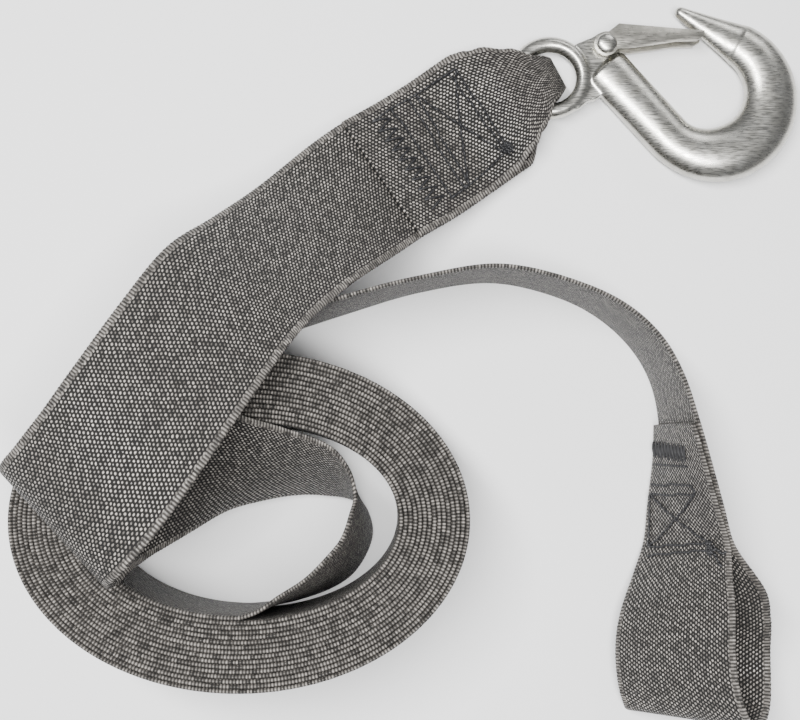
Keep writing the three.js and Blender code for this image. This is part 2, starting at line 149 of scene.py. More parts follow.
fold_over = [
    (-0.0544, -0.0014, 0.0580, -34.5, 37, 0),
    (-0.0556, -0.0025, 0.0660, -34.5, 37, 0),
    (-0.0534, -0.0003, 0.0745, -34.5, 37, 0),
    (-0.0474, 0.0054, 0.0796, -35, 36.5, 0),
    (-0.0380, 0.0170, 0.0810, -38, 32.5, 0),
]
down_to_floor = [
    (-0.0278, 0.0321, 0.0796, -40, 30.5, 0.5),
    (-0.0143, 0.0532, 0.0740, -40.5, 29, 1),
    (-0.0036, 0.0698, 0.0660, -38.6, 33, -2),
    (0.0060, 0.0810, 0.0545, -33, 34.2, -15),
    (0.0214, 0.0966, 0.0375, -31, 34, -15),
]
sewn_to_hook = [
    (0.0446, 0.1177, 0.0160, -28, 41.5, -2),
    (0.0580, 0.1268, 0.0096, -27.6, 42, 0),
    (0.0720, 0.1372, 0.0050, -27, 42, 0),
    (0.0860, 0.1472, 0.0026, -26, 42, 0),
]
eye_fold = [
    (0.0974, 0.1534, 0.0018, -14, 27, 0, 0.031),
    (0.1045, 0.1570, 0.0020, -14, 27, 0, 0.017),
    (0.1092, 0.1594, 0.0066, -14, 27, 0, 0.012),
    (0.1045, 0.1570, 0.0114, -14, 27, 0, 0.017),
    (0.0974, 0.1534, 0.0118, -14, 27, 0, 0.031),
    (0.0898, 0.1492, 0.0112, -19, 33, 0, 0.042),
    (0.0812, 0.1439, 0.0088, -25, 41, 0, 0.049),
]
tail_on_edge = [
    (*coil_turn(COIL_TURNS), 0, 0, 1),
    (0.0000, 0.0616, 0.0253, 0, 0, 1),
    (0.0327, 0.0725, 0.0253, -1.5, -1, 50),
    (0.0580, 0.0796, 0.0253, -1.8, -2, 49.9),
    (0.0854, 0.0834, 0.0253, -1.5, -1.4, 49.9),
    (0.1117, 0.0771, 0.0253, -1.5, -1, 49.9),
    (0.1266, 0.0690, 0.0253, -1, 0.3, 50),
    (0.1370, 0.0586, 0.0253, -0.4, 1, 50),
    (0.1432, 0.0470, 0.0253, 0.4, 0.6, 50),
]
sewn_to_loop = [
    (0.1470, 0.0320, 0.0253, 3, -1, 49.8),
    (0.1486, 0.0180, 0.0251, 8, -1.8, 49.2),
    (0.1494, 0.0040, 0.0248, 14, -1, 48),
    (0.1502, -0.0090, 0.0244, 19.5, 1, 46),
]
drum_loop = [
    (0.1530, -0.0220, 0.0218, 30, 4, 37),
    (0.1546, -0.0340, 0.0154, 41, 3, 26),
    (0.1552, -0.0460, 0.0104, 46, 2, 18),
    (0.1552, -0.0560, 0.0104, 46, 0, 17.5),
    (0.1540, -0.0640, 0.0142, 43, -1, 24),
    (0.1510, -0.0678, 0.0202, 39, -1.5, 31),
    (0.1474, -0.0650, 0.0256, 35, 0, 35.5),
    (0.1444, -0.0560, 0.0274, 33, 3, 37),
    (0.1435, -0.0440, 0.0274, 32.5, 4, 37.5),
    (0.1446, -0.0310, 0.0270, 30, 5, 39),
    (0.1468, -0.0190, 0.0256, 24, 3, 43.5),
]

SAMPLES_PER_SPAN = 24
hook_run = strap_run(
    inside_core + over_rim + fold_over + down_to_floor + sewn_to_hook + eye_fold
    + folded_back(sewn_to_hook[:-1]), SAMPLES_PER_SPAN)
turn_steps = np.linspace(0, COIL_TURNS, 2600)[1:-1]
turn_centres = np.array([coil_turn(t) for t in turn_steps])
turn_halves = np.tile((0.0, 0.0, WEB_WIDTH / 2), (len(turn_steps), 1))
loop_run = strap_run(
    tail_on_edge + sewn_to_loop + drum_loop + folded_back(sewn_to_loop), SAMPLES_PER_SPAN)

rough_centres = np.concatenate([hook_run[0][::-1], turn_centres, loop_run[0]])
rough_halves = np.concatenate([hook_run[1][::-1], turn_halves, loop_run[1]])
rough_steps = np.linalg.norm(np.diff(rough_centres, axis=0), axis=1)
rough_along = np.concatenate([[0], np.cumsum(rough_steps)])
strap_length = rough_along[-1]
PICK = 0.0008  # one row of the mesh for each weft thread
strap_along = np.linspace(0, strap_length, int(strap_length / PICK))
strap_centre = np.stack(
    [np.interp(strap_along, rough_along, rough_centres[:, k]) for k in range(3)], 1)
strap_half = np.stack(
    [np.interp(strap_along, rough_along, rough_halves[:, k]) for k in range(3)], 1)
for _ in range(3):
    strap_centre[1:-1] = (strap_centre[:-2] + 2 * strap_centre[1:-1] + strap_centre[2:]) / 4
    strap_half[1:-1] = (strap_half[:-2] + 2 * strap_half[1:-1] + strap_half[2:]) / 4
strap_centre += np.array(coil_at)
strap_heading = np.gradient(strap_centre, axis=0)
strap_face = np.cross(strap_heading, strap_half)
strap_face /= np.linalg.norm(strap_face, axis=1)[:, None]

# Section of the webbing: share of the half width, and share of the half thickness
HALF_THICK = 0.00068
strap_section = [
    (1.0, 0.0), (0.985, 0.62), (0.955, 1.0), (0.32, 1.0), (-0.32, 1.0),
    (-0.955, 1.0), (-0.985, 0.62), (-1.0, 0.0), (-0.985, -0.62), (-0.955, -1.0),
    (0.0, -1.0), (0.955, -1.0), (0.985, -0.62),
]
rows_count, ring = len(strap_along), len(strap_section)
strap_points = np.empty((rows_count, ring, 3))
strap_uv = np.empty((rows_count, ring, 2))
SELVEDGE_SCALLOP = 0.004  # the weft's bumps, as a share of the half width
scallop = np.where(np.arange(rows_count) % 2 == 0, SELVEDGE_SCALLOP, -SELVEDGE_SCALLOP)
for k, (share, thick) in enumerate(strap_section):
    reach = share + (scallop * share if abs(share) > 0.98 else 0)
    strap_points[:, k] = (
        strap_centre + strap_half * np.reshape(reach * np.ones(rows_count), (-1, 1))
        + strap_face * thick * HALF_THICK
    )
    strap_uv[:, k, 0] = 25 + 25 * share
    strap_uv[:, k, 1] = strap_along * 1000

strap_faces = []
for i in range(rows_count - 1):
    a, b = i * ring, (i + 1) * ring
    strap_faces += [(a + k, a + (k + 1) % ring, b + (k + 1) % ring, b + k) for k in range(ring)]
strap_faces.append(tuple(range(ring))[::-1])
strap_faces.append(tuple((rows_count - 1) * ring + k for k in range(ring)))
strap_mesh = bpy.data.meshes.new("winch_webbing")
strap_mesh.from_pydata(strap_points.reshape(-1, 3).tolist(), [], strap_faces)
strap_mesh.validate()


def turn_outward(mesh):
    """Recalculates the normals so that every face points out."""
    shell = bmesh.new()
    shell.from_mesh(mesh)
    bmesh.ops.recalc_face_normals(shell, faces=shell.faces)
    shell.to_mesh(mesh)
    shell.free()
    mesh.shade_smooth()


turn_outward(strap_mesh)
strap_map = strap_mesh.uv_layers.new(name="strap_mm")
corner_vertex = np.empty(len(strap_mesh.loops), dtype=np.int32)
strap_mesh.loops.foreach_get("vertex_index", corner_vertex)
strap_map.data.foreach_set("uv", strap_uv.reshape(-1, 2)[corner_vertex].ravel())
webbing = bpy.data.objects.new("winch_webbing", strap_mesh)
bpy.context.scene.collection.objects.link(webbing)


def add(tree, kind, inputs=None, **settings):
    """A node with its settings and its inputs, by name or place: a socket is linked, a value is set."""
    node = tree.nodes.new(kind)
    for name, value in settings.items():
        setattr(node, name, value)
    for name, value in (inputs or {}).items():
        if isinstance(value, bpy.types.NodeSocket):
            tree.links.new(value, node.inputs[name])
        else:
            node.inputs[name].default_value = value
    return node


def sums(tree, operation, *values):
    """One arithmetic node's output."""
    return add(tree, "ShaderNodeMath", dict(enumerate(values)), operation=operation).outputs[0]


def ease(tree, value, low, high, to_low=0.0, to_high=1.0):
    return add(
        tree, "ShaderNodeMapRange",
        {"Value": value, "From Min": low, "From Max": high, "To Min": to_low, "To Max": to_high},
        interpolation_type="SMOOTHSTEP").outputs[0]


def blend_colour(tree, factor, one, other):
    node = add(tree, "ShaderNodeMix", data_type="RGBA")
    for place, value in ((0, factor), (6, one), (7, other)):
        if isinstance(value, bpy.types.NodeSocket):
            tree.links.new(value, node.inputs[place])
        else:
            node.inputs[place].default_value = value
    return node.outputs[2]


def weave_group():
    """Plain weave in millimetres of strap: light floats in offset rows, and a finer selvedge.

    Float is 1 on a float and 0 between the yarns, where the material paints shade, and Cell is a random
    number for each float.
    """
    WARP_PITCH, WEFT_PITCH, EDGE_PITCH = 1.08, 1.5, 1.1
    tree = bpy.data.node_groups.new("plain_weave", "ShaderNodeTree")
    tree.interface.new_socket("Strap mm", in_out="INPUT", socket_type="NodeSocketVector")
    for name in ("Float", "Cell"):
        tree.interface.new_socket(name, in_out="OUTPUT", socket_type="NodeSocketFloat")
    place = add(tree, "NodeGroupInput").outputs[0]
    wander = add(tree, "ShaderNodeTexNoise", {"Vector": place, "Scale": 0.35, "Detail": 3.0})
    axes = add(tree, "ShaderNodeSeparateXYZ", {"Vector": place})
    across = sums(tree, "ADD", axes.outputs[0], sums(tree, "MULTIPLY", wander.outputs[0], 0.9))
    along = sums(tree, "ADD", axes.outputs[1], sums(tree, "MULTIPLY", wander.outputs[1], 1.4))
    column = sums(tree, "DIVIDE", across, WARP_PITCH)
    shift = sums(tree, "MULTIPLY", sums(tree, "MODULO", sums(tree, "FLOOR", column), 2.0), 0.5)
    row = sums(tree, "ADD", sums(tree, "DIVIDE", along, WEFT_PITCH), shift)
    in_column = sums(tree, "SUBTRACT", sums(tree, "FRACT", column), 0.5)
    in_row = sums(tree, "SUBTRACT", sums(tree, "FRACT", row), 0.5)
    slanted = sums(tree, "ADD", in_column, sums(tree, "MULTIPLY", in_row, 0.25))
    radius = sums(
        tree, "SQRT",
        sums(tree, "ADD", sums(tree, "POWER", sums(tree, "DIVIDE", slanted, 0.47), 2.0),
             sums(tree, "POWER", sums(tree, "DIVIDE", in_row, 0.40), 2.0)))
    cell = add(
        tree, "ShaderNodeTexWhiteNoise",
        {"Vector": add(tree, "ShaderNodeCombineXYZ",
                       {0: sums(tree, "FLOOR", column), 1: sums(tree, "FLOOR", row)}).outputs[0]},
        noise_dimensions="2D").outputs[0]
    off_middle = sums(tree, "ABSOLUTE", sums(tree, "SUBTRACT", axes.outputs[0], 25.0))
    edge = sums(tree, "SUBTRACT", 25.0, off_middle)
    selvedge = ease(tree, edge, 1.6, 2.8, 1.0, 0.0)
    stroke = sums(tree, "SINE", sums(tree, "MULTIPLY", axes.outputs[1], math.pi * 2 / EDGE_PITCH))
    body_float = ease(tree, radius, 0.98, 0.4)
    edge_float = ease(tree, stroke, -0.9, 1.1, 0.1, 0.7)
    mixed = add(
        tree, "ShaderNodeMix", {0: selvedge, 2: body_float, 3: edge_float}, data_type="FLOAT")
    add(tree, "NodeGroupOutput", {"Float": mixed.outputs[0], "Cell": cell})
    return tree


def webbing_material():
    """Grey-brown polyester: painted near-black shade and a dull finish between the yarns, light and glossier
    on the floats.
    """
    material = bpy.data.materials.new("grey_polyester_webbing")
    material.use_nodes = True
    tree = material.node_tree
    shader = tree.nodes["Principled BSDF"]
    place = add(tree, "ShaderNodeUVMap", uv_map="strap_mm").outputs[0]
    weave = add(tree, "ShaderNodeGroup", {}, node_tree=weave_group())
    tree.links.new(place, weave.inputs[0])
    bands = add(tree, "ShaderNodeTexNoise", {"Vector": place, "Scale": 0.035, "Detail": 3.0}).outputs[0]
    grey = blend_colour(
        tree, weave.outputs["Cell"], (0.055, 0.050, 0.044, 1), (0.46, 0.425, 0.385, 1))
    soiled = ease(tree, bands, 0.3, 0.7, 0.0, 0.4)
    warm = blend_colour(tree, soiled, grey, (0.13, 0.117, 0.105, 1))
    # The near-black between the floats is painted shade in the gaps of the weave; the floats carry the
    # yarn's own grey.
    colour = blend_colour(tree, weave.outputs["Float"], (0.0035, 0.0031, 0.0028, 1), warm)
    tree.links.new(colour, shader.inputs["Base Color"])
    gloss = ease(tree, weave.outputs["Float"], 0.2, 0.8, 0.95, 0.36)
    tree.links.new(gloss, shader.inputs["Roughness"])
    shader.inputs["Specular IOR Level"].default_value = 0.55
    bump = add(
        tree, "ShaderNodeBump",
        {"Height": weave.outputs["Float"], "Strength": 0.9, "Distance": 0.00032})
    tree.links.new(bump.outputs[0], shader.inputs["Normal"])
    return material


strap_mesh.materials.append(webbing_material())
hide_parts("webbing_coil", "webbing_hook_run", "webbing_loop_run")
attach(webbing, "strap")

# Seams: black polyester lock stitch through both layers, a zigzag bar next to the cut end, cross
# lines, and a box with an X. The thread ends in a knot, with two loose ends at the drum loop.
THREAD_RADIUS = 0.00042
STITCH_BOW = 0.0010      # how far the middle of a stitch stands off the webbing
LOCK_STITCH = 2.6        # millimetres, as are the seams' lines below
LOOSE_STITCH = 1.6
ZIGZAG_SIDE = 20         # longer than any side, so each is one stitch
KNOT_STITCHES = 22


def thread_material():
    material = bpy.data.materials.new("black_polyester_thread")
    material.use_nodes = True
    tree = material.node_tree
    shader = tree.nodes["Principled BSDF"]
    where = add(tree, "ShaderNodeTexCoord").outputs["Object"]
    fibre = add(tree, "ShaderNodeTexNoise", {"Vector": where, "Scale": 4000.0, "Detail": 1.0}).outputs[0]
    colour = blend_colour(tree, fibre, (0.004, 0.004, 0.005, 1), (0.02, 0.02, 0.022, 1))
    tree.links.new(colour, shader.inputs["Base Color"])
    shader.inputs["Roughness"].default_value = 0.5
    return material


black_thread = thread_material()


def on_strap(along, across):
    """Place and normal on the visible face, from metres along and millimetres off the middle."""
    i = int(np.clip(np.searchsorted(strap_along, along), 0, rows_count - 1))
    towards_viewer = np.array((-0.4, 0, 1))
    up = strap_face[i] if strap_face[i] @ towards_viewer > 0 else -strap_face[i]
    return strap_centre[i] + strap_half[i] * across / 25 + up * HALF_THICK, up


def stitch_tree():
    """One bowed stitch of thread on each point, turned along it and as long as it says."""
    tree = bpy.data.node_groups.new("lock_stitches", "GeometryNodeTree")
    tree.interface.new_socket("Geometry", in_out="INPUT", socket_type="NodeSocketGeometry")
    named = {}
    for name, kind, value in (
        ("Thread radius", "NodeSocketFloat", THREAD_RADIUS), ("Stitch bow", "NodeSocketFloat", STITCH_BOW),
        ("Bow jitter", "NodeSocketFloat", 0.35), ("Seed", "NodeSocketInt", 7),
        ("Thread", "NodeSocketMaterial", None),
    ):
        named[name] = tree.interface.new_socket(name, in_out="INPUT", socket_type=kind)
        if value is not None:
            named[name].default_value = value
    tree.interface.new_socket("Geometry", in_out="OUTPUT", socket_type="NodeSocketGeometry")
    given = add(tree, "NodeGroupInput")
    sink = sums(tree, "MULTIPLY", given.outputs["Thread radius"], -0.8)
    start, middle, end = (
        add(tree, "ShaderNodeCombineXYZ", {0: along, 2: height}).outputs[0]
        for along, height in ((-0.52, sink), (0.0, given.outputs["Stitch bow"]), (0.52, sink))
    )
    bezier = add(
        tree, "GeometryNodeCurveQuadraticBezier",
        {"Resolution": 6, "Start": start, "Middle": middle, "End": end})
    circle = add(
        tree, "GeometryNodeCurvePrimitiveCircle",
        {"Resolution": 8, "Radius": given.outputs["Thread radius"]})
    stitch = add(
        tree, "GeometryNodeCurveToMesh",
        {"Curve": bezier.outputs[0], "Profile Curve": circle.outputs[0], "Fill Caps": True})
    seed_along, seed_up, seed_length = (
        add(tree, "GeometryNodeInputNamedAttribute", {"Name": name}, data_type=kind).outputs[0]
        for name, kind in (
            ("stitch_along", "FLOAT_VECTOR"), ("stitch_up", "FLOAT_VECTOR"), ("stitch_length", "FLOAT"))
    )
    turn = add(
        tree, "FunctionNodeAxesToRotation",
        {0: seed_up, 1: seed_along}, primary_axis="Z", secondary_axis="X")
    chance = add(tree, "FunctionNodeRandomValue", {"Seed": given.outputs["Seed"]}, data_type="FLOAT")
    jitter = sums(tree, "MULTIPLY", chance.outputs[1], given.outputs["Bow jitter"])
    rise = sums(tree, "ADD", 1.0, jitter)
    laid = add(
        tree, "GeometryNodeInstanceOnPoints",
        {"Points": given.outputs["Geometry"], "Instance": stitch.outputs[0], "Rotation": turn.outputs[0],
         "Scale": add(tree, "ShaderNodeCombineXYZ", {0: seed_length, 1: 1.0, 2: rise}).outputs[0]})
    real = add(tree, "GeometryNodeRealizeInstances", {"Geometry": laid.outputs[0]})
    painted = add(
        tree, "GeometryNodeSetMaterial", {"Geometry": real.outputs[0], "Material": given.outputs["Thread"]})
    add(tree, "NodeGroupOutput", {"Geometry": painted.outputs[0]})
    return tree, named


lock_stitches, stitch_inputs = stitch_tree()
# Any direction near the strap's plane sets out a knot, and this one is taken 80 mm from the hook end.
knot_heading = strap_heading[100] / np.linalg.norm(strap_heading[100])


def sew(name, lines, from_far_end, knots):
    """Lays the lines, in millimetres from the cut end and off the middle, as one mesh of stitches."""
    middles, alongs, ups, lengths = [], [], [], []

    def place(spot):
        metres = spot[0] / 1000
        return on_strap(strap_length - metres if from_far_end else metres, spot[1])

    def stitch(start, end, up):
        middles.append((start + end) / 2)
        alongs.append((end - start) / np.linalg.norm(end - start))
        ups.append(up)
        lengths.append(np.linalg.norm(end - start))

    for pitch, line in lines:
        for first, last in zip(line, line[1:]):
            first, last = np.array(first, dtype=float), np.array(last, dtype=float)
            count = max(1, round(np.linalg.norm(last - first) / pitch))
            spots = [place(first + (last - first) * i / count) for i in range(count + 1)]
            for (start, up), (end, _) in zip(spots, spots[1:]):
                stitch(start, end, up)
    for spot, size in knots:
        middle, up = place(spot)
        side = np.cross(up, knot_heading)
        side /= np.linalg.norm(side)
        other = np.cross(up, side)
        for i in range(KNOT_STITCHES):
            angle = i * 2.4
            out = size * math.sqrt((i + 0.5) / KNOT_STITCHES)
            spoke = side * math.cos(angle) + other * math.sin(angle)
            tangent = side * math.cos(angle * 1.7) + other * math.sin(angle * 1.7)
            seat = middle + spoke * out + up * 0.0004 * (i % 3)
            stitch(seat - tangent * 0.0010, seat + tangent * 0.0010, up)
    seeds = bpy.data.meshes.new(name)
    seeds.from_pydata([tuple(p) for p in middles], [], [])
    for label, rows in (("stitch_along", alongs), ("stitch_up", ups)):
        held = seeds.attributes.new(label, "FLOAT_VECTOR", "POINT")
        held.data.foreach_set("vector", np.array(rows).ravel())
    held = seeds.attributes.new("stitch_length", "FLOAT", "POINT")
    held.data.foreach_set("value", np.array(lengths))
    holder = bpy.data.objects.new(name, seeds)
    bpy.context.scene.collection.objects.link(holder)
    modifier = holder.modifiers.new("lock_stitches", "NODES")
    modifier.node_group = lock_stitches
    modifier[stitch_inputs["Thread radius"].identifier] = THREAD_RADIUS
    modifier[stitch_inputs["Stitch bow"].identifier] = STITCH_BOW
    modifier[stitch_inputs["Bow jitter"].identifier] = 0.35
    modifier[stitch_inputs["Seed"].identifier] = 7
    modifier[stitch_inputs["Thread"].identifier] = black_thread
    ready = holder.evaluated_get(bpy.context.evaluated_depsgraph_get())
    baked = bpy.data.meshes.new_from_object(ready)
    holder.modifiers.clear()
    holder.data = baked
    baked.name = name
    turn_outward(baked)
    return holder


def zigzag(near, far, from_across, to_across, teeth):
    """A zigzag bar across the strap, as one line of corners."""
    steps = np.linspace(from_across, to_across, 2 * teeth + 1)
    return [((near, far)[i % 2], across) for i, across in enumerate(steps)]


hook_seam = sew("hook_seam_thread", [
    (ZIGZAG_SIDE, zigzag(9.5, 16.8, 19.5, -18.5, 9)),
    (LOCK_STITCH, [(9.5, 19.5), (18.3, 20.3), (25.7, 19.8)]),
    (LOCK_STITCH, [(18.3, 20.3), (19.2, -18.5), (27.7, -18.2)]),
    (LOCK_STITCH, [(25.7, 19.6), (25.5, -17.4), (27.8, -18.4), (29.4, 18.4)]),
    (LOCK_STITCH, [(29.6, 19.4), (45.6, -16.3)]),
    (LOCK_STITCH, [(46.6, 18.8), (27.3, -18.0)]),
    (LOCK_STITCH, [(44.0, 19.0), (46.2, -15.4)]),
    (LOCK_STITCH, [(46.6, 19.2), (48.1, -16.6)]),
    (LOCK_STITCH, [(25.7, 19.8), (46.6, 19.2)]),
    (LOCK_STITCH, [(27.7, -18.2), (48.2, -16.8)]),
], False, [((47.6, -16.2), 0.0020)])
loop_seam = sew("loop_seam_thread", [
    (ZIGZAG_SIDE, zigzag(6.8, 13.6, -22.5, 10.5, 10)),
    (LOCK_STITCH, [(15.0, -22.8), (15.0, 9.4)]),
    (LOCK_STITCH, [(21.8, -22.8), (21.3, 10.6), (22.8, 12.4), (24.5, 11.4), (25.2, -22.2)]),
    (LOCK_STITCH, [(25.6, -21.0), (40.8, 15.2)]),
    (LOCK_STITCH, [(24.6, 11.2), (42.6, -19.6)]),
    (LOCK_STITCH, [(43.0, -20.2), (40.6, 16.4)]),
    (LOCK_STITCH, [(46.0, -19.4), (43.4, 14.0)]),
    (LOCK_STITCH, [(25.2, -22.4), (43.0, -20.4)]),
    (LOOSE_STITCH, [(43.2, 15.4), (42.6, 18.6), (44.6, 21.2), (43.9, 23.6)]),
    (LOOSE_STITCH, [(43.2, 15.4), (45.4, 18.0), (47.6, 19.6), (49.0, 20.8)]),
], True, [((43.0, 15.6), 0.0018)])
for seam in (hook_seam, loop_seam):
    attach(seam, "strap")

# Hook: drop-forged steel, bright zinc plated. Ring eye, flat neck, shank, round bowl and point are
# one forging, with a fine parting line round its mid-plane. Sizes count from the eye's centre.
EYE_RING_RADIUS = 0.0123
EYE_BAR_RADIUS = 0.0029
HALF_NECK = 0.0019
SHANK_WIDTH = 0.0172
SHANK_END_ROUND = 0.0021
SHOULDER_THICK, SHANK_THICK = 0.0084, 0.0114
BOWL_WIDTH, BOWL_THICK = 0.0206, 0.013
POINT_ROOT_WIDTH, POINT_ROOT_THICK = 0.0156, 0.0096
POINT_LENGTH = 0.024
SWELL_END = 0.35         # share of the bowl over which the shank swells to its full section
RIVET_X, RIVET_Y = 0.0201, 0.0116


def skinned(rings):
    """A closed shell through rings of the same number of points, capped at both ends."""
    count, sides = len(rings), len(rings[0])
    faces = [
        (i * sides + k, i * sides + (k + 1) % sides, (i + 1) * sides + (k + 1) % sides, (i + 1) * sides + k)
        for i in range(count - 1) for k in range(sides)
    ]
    last_ring = (count - 1) * sides
    faces += [tuple(range(sides))[::-1], tuple(last_ring + k for k in range(sides))]
    return [tuple(p) for r in rings for p in r], faces


def hook_bar():
    """Shank, bowl and point: places on the centre line with width, thickness and heading."""
    start = np.array((0.0205, 0.0034))
    centre, radius = np.array((0.0584, -0.0064)), 0.0218
    low, high = math.radians(-134), math.radians(61)

    def bowl(angle):
        return centre + radius * np.array((math.cos(angle), math.sin(angle)))

    places = []
    for t in np.linspace(0, 1, 14)[:-1]:
        thick = SHOULDER_THICK + (SHANK_THICK - SHOULDER_THICK) * t
        places.append((start * (1 - t) + bowl(low) * t, SHANK_WIDTH, thick))
    for t in np.linspace(0, 1, 60):
        if t < SWELL_END:
            u = t / SWELL_END
            u = u * u * (3 - 2 * u)
            width = SHANK_WIDTH * (1 - u) + BOWL_WIDTH * u
            thick = SHANK_THICK * (1 - u) + BOWL_THICK * u
        else:
            u = ((t - SWELL_END) / (1 - SWELL_END)) ** 2
            width = BOWL_WIDTH * (1 - u) + POINT_ROOT_WIDTH * u
            thick = BOWL_THICK * (1 - u) + POINT_ROOT_THICK * u
        places.append((bowl(low + (high - low) * t), width, thick))
    heading = np.array((-math.sin(high), math.cos(high)))
    for t in np.linspace(0, 1, 24)[1:]:
        places.append((
            bowl(high) + heading * POINT_LENGTH * t,
            POINT_ROOT_WIDTH - 0.0110 * t**0.9, POINT_ROOT_THICK - 0.0054 * math.sqrt(t)))
    return places


def bar_rings(places, root_round, sides=40):
    """Elliptic rings along the places, closed with a rounded tip and a rounded shank end."""
    centres = np.array([p[0] for p in places])
    headings = np.gradient(centres, axis=0)
    headings /= np.linalg.norm(headings, axis=1)[:, None]

    def ring_at(centre, heading, width, thick):
        side = np.array((-heading[1], heading[0]))
        out = []
        for k in range(sides):
            a = 2 * math.pi * k / sides
            flat = side * width / 2 * math.cos(a)
            out.append((centre[0] + flat[0], centre[1] + flat[1], thick / 2 * math.sin(a)))
        return out

    rings = [ring_at(c, h, p[1], p[2]) for c, h, p in zip(centres, headings, places)]
    for s in (0.3, 0.6, 0.8, 0.92, 0.985):
        shrink = math.sqrt(1 - s * s)
        width, thick = places[-1][1:]
        tip = centres[-1] + headings[-1] * s * width / 2
        rings.append(ring_at(tip, headings[-1], width * shrink, thick * shrink))
        width, thick = places[0][1:]
        root = centres[0] - headings[0] * s * root_round
        rings.insert(0, ring_at(root, headings[0], width * shrink, thick * shrink))
    return rings


def neck_outline():
    """Flat neck with the lug that carries the rivet."""
    points = [
        (EYE_RING_RADIUS * math.cos(a), EYE_RING_RADIUS * math.sin(a)) for a in np.linspace(-0.9, 0.9, 14)
    ]
    points += [(0.0098, 0.0124), (0.0156, 0.0148)]
    points += [
        (RIVET_X + 0.0052 * math.cos(a), RIVET_Y + 0.0052 * math.sin(a))
        for a in np.radians(np.linspace(122, -20, 16))
    ]
    return points + [
        (0.026, 0.004), (0.022, -0.003), (0.0166, -0.0082), (0.0134, -0.009), (0.0096, -0.0122)]


def shell_object(name, shells):
    """One object at the origin from closed shells of points and faces, moved by the eye's place."""
    points, faces = [], []
    for shell_points, shell_faces in shells:
        base = len(points)
        points += [tuple(Vector(p) + eye_at) for p in shell_points]
        faces += [tuple(base + i for i in f) for f in shell_faces]
    mesh = bpy.data.meshes.new(name)
    mesh.from_pydata(points, [], faces)
    shell = bpy.data.objects.new(name, mesh)
    bpy.context.scene.collection.objects.link(shell)
    turn_outward(mesh)
    return shell


def bake(shell):
    """Turns the object's modifiers into its mesh."""
    ready = shell.evaluated_get(bpy.context.evaluated_depsgraph_get())
    baked = bpy.data.meshes.new_from_object(ready)
    baked.name = shell.name
    shell.modifiers.clear()
    shell.data = baked
    turn_outward(baked)
    return shell


def plate(outline, low, high):
    count = len(outline)
    points = [(x, y, low) for x, y in outline] + [(x, y, high) for x, y in outline]
    faces = [(i, (i + 1) % count, count + (i + 1) % count, count + i) for i in range(count)]
    return points, faces + [tuple(range(count))[::-1], tuple(range(count, 2 * count))]


def eye_ring(steps=96, sides=24):
    """The round bar of the eye, closed on itself."""
    points, faces = [], []
    for i in range(steps):
        a = 2 * math.pi * i / steps
        here, ahead = i * sides, ((i + 1) % steps) * sides
        for k, b in enumerate(np.linspace(0, 2 * math.pi, sides + 1)[:-1]):
            reach = EYE_RING_RADIUS + EYE_BAR_RADIUS * math.cos(b)
            points.append((reach * math.cos(a), reach * math.sin(a), EYE_BAR_RADIUS * math.sin(b)))
            beside = (k + 1) % sides
            faces.append((here + k, here + beside, ahead + beside, ahead + k))
    return points, faces


hook = shell_object("forged_hook", [
    skinned(bar_rings(hook_bar(), SHANK_END_ROUND)), plate(neck_outline(), -HALF_NECK, HALF_NECK),
    eye_ring()])
forge = hook.modifiers.new("one_forging", "REMESH")
forge.mode = "VOXEL"
forge.voxel_size = 0.00042
soften = hook.modifiers.new("fillets", "SMOOTH")
soften.iterations = 7
soften.factor = 0.5
bake(hook)


def grain_group():
    """Mottling, scratches and a parting line of a zinc-plated part, from its object coordinates."""
    tree = bpy.data.node_groups.new("plated_grain", "ShaderNodeTree")
    tree.interface.new_socket("Where", in_out="INPUT", socket_type="NodeSocketVector")
    mid = tree.interface.new_socket("Parting height", in_out="INPUT", socket_type="NodeSocketFloat")
    mid.default_value = 0.0065
    for name in ("Mottle", "Scratch", "Height"):
        tree.interface.new_socket(name, in_out="OUTPUT", socket_type="NodeSocketFloat")
    given = add(tree, "NodeGroupInput")
    where = given.outputs[0]
    mottle = add(
        tree, "ShaderNodeTexNoise", {"Vector": where, "Scale": 190.0, "Detail": 5.0, "Roughness": 0.6})
    stretched = add(
        tree, "ShaderNodeMapping",
        {"Vector": where, "Rotation": (0.0, 0.0, 0.7), "Scale": (300.0, 3200.0, 900.0)})
    scratch = add(
        tree, "ShaderNodeTexNoise", {"Vector": stretched.outputs[0], "Scale": 1.0, "Detail": 3.0})
    pits = add(tree, "ShaderNodeTexNoise", {"Vector": where, "Scale": 1500.0, "Detail": 2.0})
    height = add(tree, "ShaderNodeSeparateXYZ", {"Vector": where}).outputs[2]
    off = sums(tree, "ABSOLUTE", sums(tree, "SUBTRACT", height, given.outputs[1]))
    line = ease(tree, off, 0.00055, 0.0001)
    rough_skin = sums(
        tree, "ADD", sums(tree, "MULTIPLY", mottle.outputs[0], 0.35),
        sums(tree, "MULTIPLY", pits.outputs[0], 0.16))
    relief = sums(tree, "ADD", line, rough_skin)
    add(tree, "NodeGroupOutput", {
        "Mottle": mottle.outputs[0], "Scratch": scratch.outputs[0], "Height": relief})
    return tree


plated_grain = grain_group()


